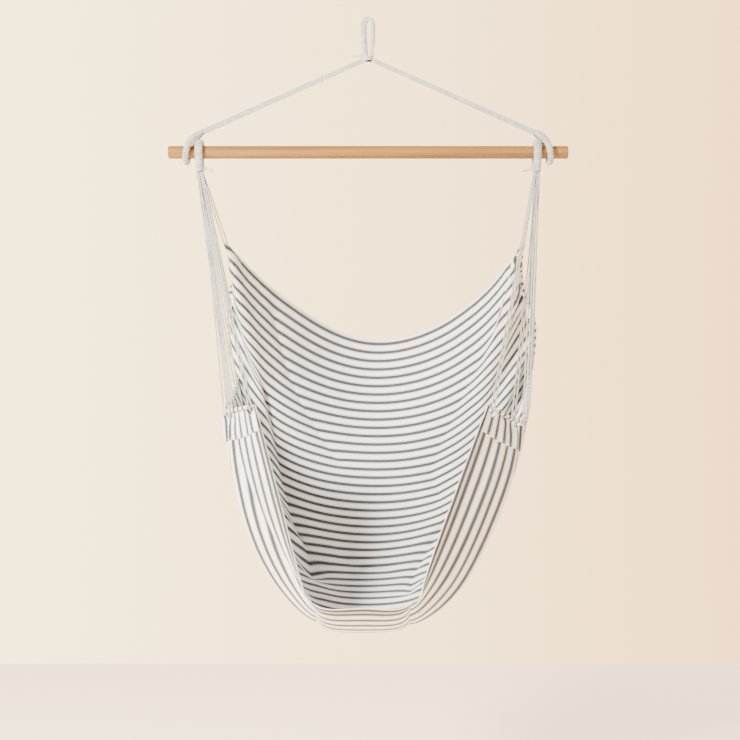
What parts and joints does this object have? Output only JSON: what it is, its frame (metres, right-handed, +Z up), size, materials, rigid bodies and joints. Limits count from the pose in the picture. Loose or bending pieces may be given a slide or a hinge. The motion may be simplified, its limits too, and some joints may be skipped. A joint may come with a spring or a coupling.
{
  "type": "hanging hammock chair",
  "caption": "Hanging chair: a striped canvas seat slung by cotton cords from a round wooden spreader bar, with one whipped eye to hang it from.",
  "frame": {"origin": "the point inside the top eye that rests on the hook", "axes": "+Z up, +X along the spreader bar, the sitter looks towards -Y"},
  "size_m": [1, 0.7276, 1.4967],
  "materials": {
    "wood": "oiled",
    "canvas": "woven ticking stripe",
    "cotton_cord": "twisted cotton",
    "whipping_cord": "wound cotton"
  },
  "bodies": {
    "suspension": {"top_eye_core": "cotton_cord", "top_eye_whipping": "whipping_cord", "top_eye_seizing": "whipping_cord", "top_eye_knot": "whipping_cord", "suspension_cords_left": "cotton_cord", "bar_eye_core_left": "cotton_cord", "bar_eye_whipping_left": "whipping_cord", "suspension_cords_right": "cotton_cord", "bar_eye_core_right": "cotton_cord", "bar_eye_whipping_right": "whipping_cord"},
    "bar": {"spreader_bar": "wood"},
    "seat": {"seat_cloth": "canvas", "back_hem": "canvas", "front_hem": "canvas", "side_casing_left": "canvas", "hem_tongues_left": "canvas", "hem_cord_left": "cotton_cord", "clew_eye_core_left": "cotton_cord", "clew_eye_whipping_left": "whipping_cord", "clew_knot_left": "whipping_cord", "side_casing_right": "canvas", "hem_tongues_right": "canvas", "hem_cord_right": "cotton_cord", "clew_eye_core_right": "cotton_cord", "clew_eye_whipping_right": "whipping_cord", "clew_knot_right": "whipping_cord", "clew_line_left_1": "cotton_cord", "clew_line_left_2": "cotton_cord", "clew_line_left_3": "cotton_cord", "clew_line_left_4": "cotton_cord", "clew_line_left_5": "cotton_cord", "clew_line_left_6": "cotton_cord", "clew_line_left_7": "cotton_cord", "clew_line_left_8": "cotton_cord", "clew_line_right_1": "cotton_cord", "clew_line_right_2": "cotton_cord", "clew_line_right_3": "cotton_cord", "clew_line_right_4": "cotton_cord", "clew_line_right_5": "cotton_cord", "clew_line_right_6": "cotton_cord", "clew_line_right_7": "cotton_cord", "clew_line_right_8": "cotton_cord"}
  },
  "joints": [
    {"name": "bar_roll", "type": "hinge", "parent": "suspension", "child": "bar", "pos_m": [0, 0, -0.324], "axis": [1, 0, 0], "continuous": true},
    {"name": "seat_swing", "type": "hinge", "parent": "suspension", "child": "seat", "pos_m": [0, 0, -0.324], "axis": [1, 0, 0], "range_deg": [-35, 35]}
  ]
}
